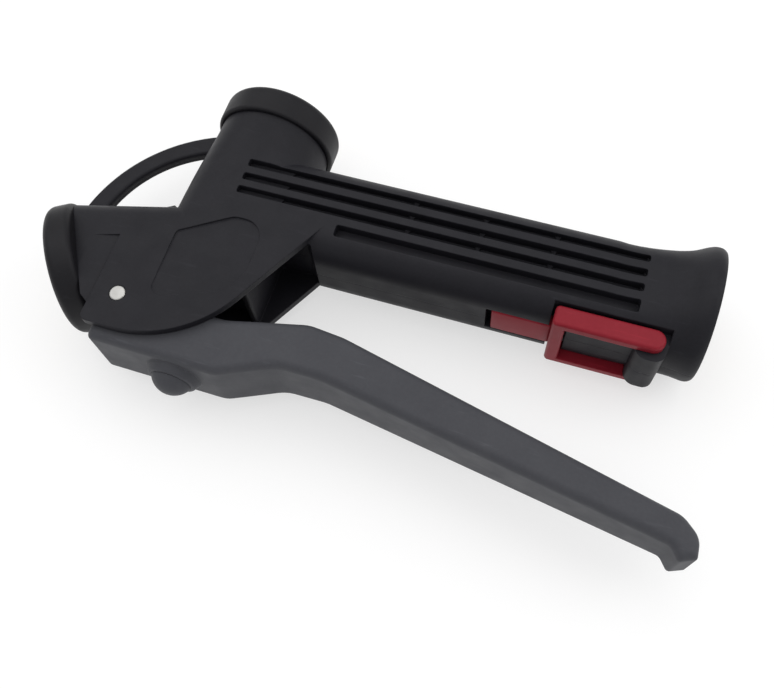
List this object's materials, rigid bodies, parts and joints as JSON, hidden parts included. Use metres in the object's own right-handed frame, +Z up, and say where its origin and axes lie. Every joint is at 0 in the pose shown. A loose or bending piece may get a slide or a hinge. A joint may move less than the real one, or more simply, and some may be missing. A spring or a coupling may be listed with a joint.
{
  "type": "fire hose nozzle",
  "caption": "Lever-operated shut-off nozzle with a ribbed grip, flared inlet, angled outlet, hanging eye, return-spring cap and a fold-down latch that blocks the lever.",
  "frame": {"origin": "centre of the inlet mouth", "axes": "+X out of the inlet along the grip, +Y away from the lever, +Z up and square to the plane the two shells part on"},
  "size_m": [0.252, 0.1286, 0.0486],
  "materials": {
    "shell": "fine moulded grain, satin",
    "collar": "soft satin",
    "lever": "fine moulded grain, satin",
    "latch": "satin gloss",
    "brass": "machined",
    "steel": "turned",
    "seal": "smooth",
    "seat": "smooth",
    "bush": "smooth"
  },
  "bodies": {
    "body": {"near_shell": "shell", "far_shell": "shell", "outlet_ring": "collar", "cap_ring": "collar", "cap_plug": "brass", "cap_seal": "seal", "valve_body": "brass", "outlet_fitting": "brass", "outlet_gasket": "seal", "valve_seat": "seat", "valve_spring": "steel", "stem_packing": "seal", "gland_nut": "brass", "inlet_tube": "brass", "inlet_fitting": "brass", "inlet_gasket": "seal", "lever_pin": "steel", "pin_clip": "steel", "shell_screws": "steel"},
    "lever": {"lever": "lever", "lever_bushes": "bush", "adjusting_screw": "steel", "lock_nut": "steel", "screw_cap": "lever"},
    "valve": {"valve_stem": "steel", "poppet": "brass", "poppet_seal": "seal", "poppet_nut": "steel"},
    "latch": {"latch": "latch", "latch_pin": "steel"}
  },
  "joints": [
    {"name": "lever_squeeze", "type": "hinge", "parent": "body", "child": "lever", "pos_m": [-0.1986, -0.0574, 0], "axis": [0, 0, 1], "range_deg": [0, 12], "stiffness_Nm_per_rad": 3, "springref_deg": -28.65},
    {"name": "valve_lift", "type": "slide", "parent": "body", "child": "valve", "axis": [0, 1, 0], "range_m": [0, 0.0056], "stiffness_N_per_m": 1500, "springref_m": -0.01, "deforming": ["valve_spring"]},
    {"name": "latch_swing", "type": "hinge", "parent": "body", "child": "latch", "pos_m": [-0.0173, -0.0217, 0], "axis": [0, 0, 1], "range_deg": [0, 90]}
  ],
  "couplings": [
    {"joint": "valve_lift", "follows": "lever_squeeze", "m_per_rad": 0.0243}
  ]
}
